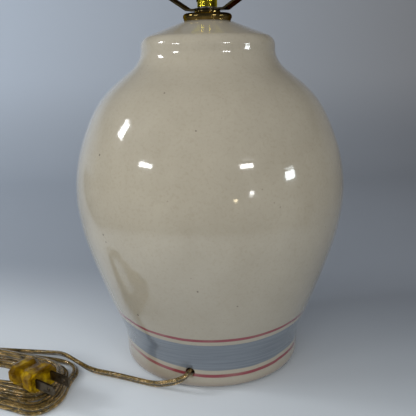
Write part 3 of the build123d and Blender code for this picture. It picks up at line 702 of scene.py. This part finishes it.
nodeFinish = {
    "vase_cap": "antiqueBrass", "check_ring": "antiqueBrass", "harp_saddle": "dullPlate",
    "saddle_lock_washer": "zincPlate", "socket_cap": "polishedBrassLit", "hub_set_screw": "dullPlate",
    "socket_shell": "shellBrassShaded", "shell_liner": "fibreSleeve", "socket_body": "darkMoulding",
    "screw_shell": "shellMetal", "centre_contact": "plainBrass", "terminal_plates": "plainBrass",
    "terminal_screws": "plainBrass", "switch_shaft": "plainBrass", "switch_knob": "darkMoulding",
    "threaded_pipe": "zincPlate", "cushion_washer": "blackRubber", "clamp_washer": "zincPlate",
    "clamp_lock_washer": "zincPlate", "clamp_nut": "plainBrass", "pipe_end_bushing": "darkMoulding",
    "plug_blades": "tarnishedBlade",
}
for node, finish in nodeFinish.items():
    dress(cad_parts[node], materials[finish])
print("finishes set on", len(nodeFinish), "nodes")


cordSpec = {
    "width": 0.0053, "thick": 0.0027, "length": 1.79,
    "curveSteps": 8, "curveOrder": 3, "lobeSteps": 8, "lobeArc": 300, "sharpAngle": 70,
    # how far the flat cord lies over, in radians: steady along the lead, then wandering
    "leadTilt": 1.15, "leadLoose": 3,
    "firstTilt": 0.7, "tiltChange": 0.22, "tiltRange": (0.25, 1.25), "seed": 11,
    "lead": [(0.0, -0.0560, 0.0138), (0.0, -0.0708, 0.0138), (-0.0068, -0.0744, 0.0104),
             (-0.0150, -0.0718, 0.0062), (-0.0250, -0.0694, 0.0028), (-0.0410, -0.0662, 0.00265),
             (-0.0595, -0.0626, 0.00265), (-0.0770, -0.0612, 0.00300), (-0.0905, -0.0578, 0.00740),
             (-0.1030, -0.0520, 0.00860), (-0.1180, -0.0421, 0.00275)],
    "tail": [(-0.1843, -0.1020, 0.00845), (-0.1740, -0.1064, 0.0126), (-0.1630, -0.1050, 0.0170),
             (-0.1510, -0.0996, 0.0190), (-0.1384, -0.0926, 0.0189), (-0.1259, -0.0903, 0.0184),
             (-0.1165, -0.0938, 0.0184)],
    # the hank: its two middles, and the radius of each half turn in both layers
    "right": (-0.1160, -0.0835), "left": (-0.1806, -0.0776), "lastSwing": 0.014,
    "lowerLeft": [0.0340, 0.0282, 0.0224, 0.0166], "lowerRight": [0.0345, 0.0287, 0.0229],
    "upperLeft": [0.0212, 0.0280], "upperRight": [0.0171, 0.0233],
    "lowerZ": 0.00265, "upperZ": 0.00845, "perHalf": 6,
    "leftSquash": [0.82, 0.84, 0.87, 0.91, 0.91, 0.86],
    # how the loose turns lie beside neat ones: fold, point and its shift in millimetres
    "loosen": {
        "right0": {0: (-2.1, 3.7, 0), 1: (3.1, -9.1, 0), 2: (2.0, -6.2, 0), 3: (-5.7, -1.6, 0),
                   4: (1.6, -1.4, 0), 5: (0.7, 0, 0)},
        "right1": {0: (-2.1, 4.3, 0), 1: (2.5, -7.7, 0), 2: (1.6, -4.2, 0), 3: (-4.8, -0.6, 0),
                   4: (-0.8, -2.0, 0), 5: (-1.3, -1.9, 0)},
        "right2": {0: (-1.5, 3.1, 0), 1: (0.2, -2.1, 0), 2: (0.9, -1.1, 0), 3: (-1.9, 0, 0),
                   4: (-1.2, -1.2, 0), 5: (-0.6, -1.6, 0)},
        "right3": {0: (-1.0, 1.4, 0), 1: (0.5, -1.5, 0), 5: (-0.2, -0.9, 0)},
        "right4": {0: (-1.6, 3.3, 0), 1: (1.6, -3.0, -0.6), 2: (2.4, -1.2, -0.4), 4: (-0.5, -1.6, 0),
                   5: (-0.8, -2.2, 0)},
    },
}


def hankPoints():
    # control points of the wound part, perHalf of them to each half turn
    spec = cordSpec
    right, left = Vector((*spec["right"], 0)), Vector((*spec["left"], 0))
    along = (right - left).normalized()
    side = Vector((-along.y, along.x, 0))
    lefts = spec["lowerLeft"] + spec["upperLeft"]
    rights = spec["lowerRight"] + spec["upperRight"]
    base = math.atan2(along.y, along.x)
    points = []
    level = spec["lowerZ"]

    def halfTurn(name, centre, radius, first, z, squash=1):
        grow = radius / math.cos(math.pi / spec["perHalf"] / 2)   # the curve runs inside its control points
        for i in range(spec["perHalf"]):
            a = base + first + math.pi * (i + 0.5) / spec["perHalf"]
            shift = Vector(spec["loosen"].get(name, {}).get(i, (0, 0, 0))) / 1000
            across = math.sin(a - base) * grow * squash
            spot = centre + along * math.cos(a - base) * grow + side * across + Vector((0, 0, z))
            points.append(tuple(spot + shift))

    for i, radius in enumerate(lefts):
        isLast = i == len(lefts) - 1
        centre = left - along * (spec["lastSwing"] if isLast else 0)
        halfTurn("left%d" % i, centre, radius, math.pi / 2, level, spec["leftSquash"][i])
        if isLast:
            break
        if i == len(spec["lowerLeft"]) - 1:
            level = spec["upperZ"]
        halfTurn("right%d" % i, right, rights[i], -math.pi / 2, level)
    return points


def evaluatedLine(name, points, tilts=None, profile=None):
    # a NURBS spline through Blender itself: its line, or its swept mesh
    data = bpy.data.curves.new(name, "CURVE")
    data.dimensions = "3D"
    data.resolution_u = cordSpec["curveSteps"]
    data.twist_mode = "Z_UP"
    spline = data.splines.new("NURBS")
    spline.points.add(len(points) - 1)
    for i, (spot, place) in enumerate(zip(spline.points, points)):
        spot.co = (*place, 1)
        spot.tilt = tilts[i] if tilts else 0
    spline.order_u = cordSpec["curveOrder"]
    spline.use_endpoint_u = True
    if profile is not None:
        data.bevel_mode = "OBJECT"
        data.bevel_object = profile
        data.use_fill_caps = True
    ob = addObject(name, data)
    bpy.context.view_layer.update()
    mesh = bpy.data.meshes.new_from_object(ob.evaluated_get(bpy.context.evaluated_depsgraph_get()))
    bpy.data.objects.remove(ob)
    return mesh


def twinProfile():
    # two round wires side by side with a groove between them
    spec = cordSpec
    data = bpy.data.curves.new("twinProfile", "CURVE")
    data.dimensions = "2D"
    spline = data.splines.new("POLY")
    radius = spec["thick"] / 2
    shift = spec["width"] / 2 - radius
    points = []
    for side in (1, -1):
        for i in range(spec["lobeSteps"] + 1):
            degrees = spec["lobeArc"] * i / spec["lobeSteps"] - spec["lobeArc"] / 2
            a = math.radians(degrees) + (0 if side > 0 else math.pi)
            points.append((side * shift + radius * math.cos(a), radius * math.sin(a)))
    spline.points.add(len(points) - 1)
    for spot, (x, y) in zip(spline.points, points):
        spot.co = (x, y, 0, 1)
    spline.use_cyclic_u = True
    return addObject("twinProfile", data)


def makeCord():
    spec = cordSpec
    rng = random.Random(spec["seed"])
    points = spec["lead"] + hankPoints() + spec["tail"]
    steady = len(spec["lead"]) - spec["leadLoose"]
    least, most = spec["tiltRange"]
    tilts = []
    turn = spec["firstTilt"]
    for i in range(len(points)):
        turn += rng.uniform(-spec["tiltChange"], spec["tiltChange"])
        turn = min(max(turn, least), most)
        tilts.append(spec["leadTilt"] if i < steady else turn)
    line = evaluatedLine("cordLine", points)
    path = [tuple(v.co) for v in line.vertices]
    profile = twinProfile()
    bm = bmesh.new()
    bm.from_mesh(evaluatedLine("twinCord", points, tilts, profile))
    bpy.data.objects.remove(profile)
    cord = finishMesh("twinCord", bm, sharpAngle=spec["sharpAngle"])
    length = sum(math.dist(a, b) for a, b in zip(path, path[1:]))
    print("cord made, length %.3f m, faces %d" % (length, len(cord.data.polygons)))
    return cord, path


cordLook = {
    # clear jacket over bunched copper: dark where it stands off the wires, bright where it touches them
    "stops": [(0.35, (0.014, 0.010, 0.003)), (0.45, (0.10, 0.066, 0.018)), (0.54, (0.42, 0.27, 0.075)),
              (0.64, (1.0, 0.66, 0.34))],
    "perimeter": 0.0146,
    # four layers and how much each one counts: dashes, patches, single wires and a ripple
    "dashStretch": (330, 1150, 1), "dashNoise": (1, 3, 0.6), "dashShare": 0.58,
    "patchNoise": (150, 3, 0.6), "patchShare": 0.42,
    "wirePitch": 0.00042, "wireSlant": 0.35, "wireShare": 0.022,
    "ripplePitch": 0.0046, "rippleShare": 0.018,
    "grooveShadeSpan": (0.05, 0.50), "grooveShadeDepth": 0.85, "grooveShadeTint": (0.012, 0.009, 0.003),
    "metalStops": [(0.42, 0.25), (0.60, 0.9)],
    "shader": {"Roughness": 0.27, "Coat Weight": 1.0, "Coat Roughness": 0.09, "Coat IOR": 1.5},
    "wireBump": (0.25, 0.00006), "dashBump": (0.55, 0.0006),
}


def makeCordMaterial():
    look = cordLook
    mat, nodes, links, shader = newMaterial("clearGoldCord")
    coords = nodes.new("ShaderNodeTexCoord")
    metres = nodes.new("ShaderNodeMapping")   # UV in metres: along the cord, round it
    metres.inputs["Scale"].default_value = (cordSpec["length"], look["perimeter"], 1)
    links.new(coords.outputs["UV"], metres.inputs["Vector"])
    along, about, _ = splitVector(nodes, links, metres.outputs["Vector"])
    stretch = nodes.new("ShaderNodeMapping")
    stretch.inputs["Scale"].default_value = look["dashStretch"]
    links.new(metres.outputs["Vector"], stretch.inputs["Vector"])
    dashes = noise(nodes, links, stretch.outputs["Vector"], *look["dashNoise"])
    patch = noise(nodes, links, objectCoords(nodes, links), *look["patchNoise"])
    slant = calc(nodes, links, "MULTIPLY_ADD", about, look["wireSlant"], along)
    across = calc(nodes, links, "MULTIPLY_ADD", along, -look["wireSlant"], about)
    wires = wave(nodes, links, across, look["wirePitch"])
    ripple = wave(nodes, links, slant, look["ripplePitch"])
    total = calc(nodes, links, "MULTIPLY", patch, look["patchShare"])
    for layer, share in ((dashes, "dashShare"), (wires, "wireShare"), (ripple, "rippleShare")):
        total = calc(nodes, links, "MULTIPLY_ADD", layer, look[share], total)
    tint = ramp(nodes, links, total, look["stops"])
    # painted shade in the groove between the two wires, where the clear web also stands off the copper
    fromGroove = calc(nodes, links, "ABSOLUTE", wave(nodes, links, about, look["perimeter"]))
    groove = softStep(nodes, links, fromGroove, *look["grooveShadeSpan"], look["grooveShadeDepth"], 0)
    tint = blendColor(nodes, links, groove, tint, look["grooveShadeTint"])
    links.new(tint, shader.inputs["Base Color"])
    links.new(ramp(nodes, links, total, look["metalStops"]), shader.inputs["Metallic"])
    setInputs(shader, look["shader"])
    normal = bumpFrom(nodes, links, None, wires, *look["wireBump"])
    bumpFrom(nodes, links, shader, dashes, *look["dashBump"], normal=normal)
    return mat


cord, cordPath = makeCord()
cordMaterial = makeCordMaterial()
dress(cord, cordMaterial)
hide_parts("cord_lead", "cord_hank", "cord_tail")
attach(cord, "root")


plugSpec = {
    "front": (-0.0903, -0.1036, 0.0184), "turn": -20.5,
    # along the plug from its face, width and thickness of each cross section
    "sections": [(-0.0280, 0.0115, 0.0088), (-0.0248, 0.0188, 0.0124), (-0.0185, 0.0218, 0.0138),
                 (-0.0130, 0.0184, 0.0114), (-0.0085, 0.0220, 0.0136), (-0.0022, 0.0234, 0.0140),
                 (0.0, 0.0222, 0.0130)],
    "corner": 0.0034, "rim": 0.0013, "sunk": 0.0006,
    "edge": 0.0004, "edgeSteps": 2, "edgeAngle": 0.25,
    # how far the corners stray, and the shares of it along, across and up
    "uneven": 0.00035, "stray": ((-1, 1), (-1, 0.4), (-0.6, 0.6)), "seed": 5,
    "flat": 0.001,   # metres along the plug that still count as one cross section
}


def makePlug():
    # two chunky lobes with cut corners and a rimmed face, as cast in one piece round the cord
    spec = plugSpec
    rng = random.Random(spec["seed"])
    strayAlong, strayAcross, strayUp = spec["stray"]
    bm = bmesh.new()
    loops = []
    upright = Matrix(((0, 0, 1), (1, 0, 0), (0, 1, 0)))
    for x, width, thick in spec["sections"]:
        verts = bmesh.ops.create_circle(bm, cap_ends=False, segments=4, radius=math.sqrt(0.5),
                                        matrix=Matrix.Rotation(math.pi / 4, 4, "Z"))["verts"]
        bmesh.ops.scale(bm, verts=verts, vec=(width, thick, 1))
        bmesh.ops.rotate(bm, verts=verts, cent=(0, 0, 0), matrix=upright)
        bmesh.ops.translate(bm, verts=verts, vec=(x, 0, 0))
        for v in verts:
            along = rng.uniform(*strayAlong) if x < -spec["flat"] else 0   # the face stays flat
            v.co += Vector((along, rng.uniform(*strayAcross), rng.uniform(*strayUp))) * spec["uneven"]
        loops.append(list({edge for v in verts for edge in v.link_edges}))
    for near, far in zip(loops, loops[1:]):
        bmesh.ops.bridge_loops(bm, edges=near + far)
    bmesh.ops.holes_fill(bm, edges=loops[0] + loops[-1])
    bmesh.ops.recalc_face_normals(bm, faces=bm.faces)
    corners = [e for e in bm.edges if abs((e.verts[0].co - e.verts[1].co).x) > spec["flat"]]
    bmesh.ops.bevel(bm, geom=corners, offset=spec["corner"], offset_type="OFFSET", segments=1, profile=0.5,
                    affect="EDGES", clamp_overlap=True, material=-1)
    bmesh.ops.recalc_face_normals(bm, faces=bm.faces)
    face = max(bm.faces, key=lambda f: f.calc_center_median().x)
    bmesh.ops.inset_region(bm, faces=[face], thickness=spec["rim"], use_even_offset=True)
    bmesh.ops.translate(bm, verts=face.verts, vec=(-spec["sunk"], 0, 0))
    edges = [e for e in bm.edges if e.calc_face_angle(0) > spec["edgeAngle"]]
    bmesh.ops.bevel(bm, geom=edges, offset=spec["edge"], offset_type="OFFSET", segments=spec["edgeSteps"],
                    profile=0.5, affect="EDGES", clamp_overlap=True, material=-1)
    bmesh.ops.rotate(bm, verts=bm.verts, cent=(0, 0, 0),
                     matrix=Matrix.Rotation(math.radians(spec["turn"]), 3, "Z"))
    bmesh.ops.translate(bm, verts=bm.verts, vec=spec["front"])
    return finishMesh("twinLobePlug", bm, smooth=False)


amberSpec = {
    "stops": [(0.33, (0.070, 0.032, 0.0006)), (0.50, (0.165, 0.088, 0.0010)), (0.70, (0.44, 0.275, 0.003))],
    "cloudNoise": (150, 5, 0.6), "facetScale": 120,
    "facetShare": -0.28, "lift": 0.12,
    "glossStops": [(0.35, 0.22), (0.7, 0.42)],
    "shader": {"Subsurface Weight": 0.25, "Subsurface Radius": (0.005, 0.0032, 0.0003),
               "Subsurface Scale": 1.0, "IOR": 1.25, "Specular IOR Level": 0.5,
               "Specular Tint": (1.0, 0.72, 0.2, 1)},
    "facetBump": (0.6, 0.0004), "cloudBump": (0.35, 0.0003),
}


def makeAmber():
    # old clear moulding: deep amber, with shrinkage facets and a wet gloss
    spec = amberSpec
    mat, nodes, links, shader = newMaterial("amberMoulding")
    vector = objectCoords(nodes, links)
    cloud = noise(nodes, links, vector, *spec["cloudNoise"])
    facets = cells(nodes, links, vector, spec["facetScale"])
    mixed = calc(nodes, links, "MULTIPLY_ADD", facets, spec["facetShare"], cloud)
    mixed = calc(nodes, links, "ADD", mixed, spec["lift"])
    links.new(ramp(nodes, links, mixed, spec["stops"]), shader.inputs["Base Color"])
    links.new(ramp(nodes, links, cloud, spec["glossStops"]), shader.inputs["Roughness"])
    setInputs(shader, spec["shader"])
    normal = bumpFrom(nodes, links, None, facets, *spec["facetBump"])
    bumpFrom(nodes, links, shader, cloud, *spec["cloudBump"], normal=normal)
    return mat


plug = makePlug()
dress(plug, makeAmber())
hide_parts("plug_body")
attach(plug, "root")
for node in ("inner_cord", "socket_leads"):
    dress(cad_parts[node], cordMaterial)
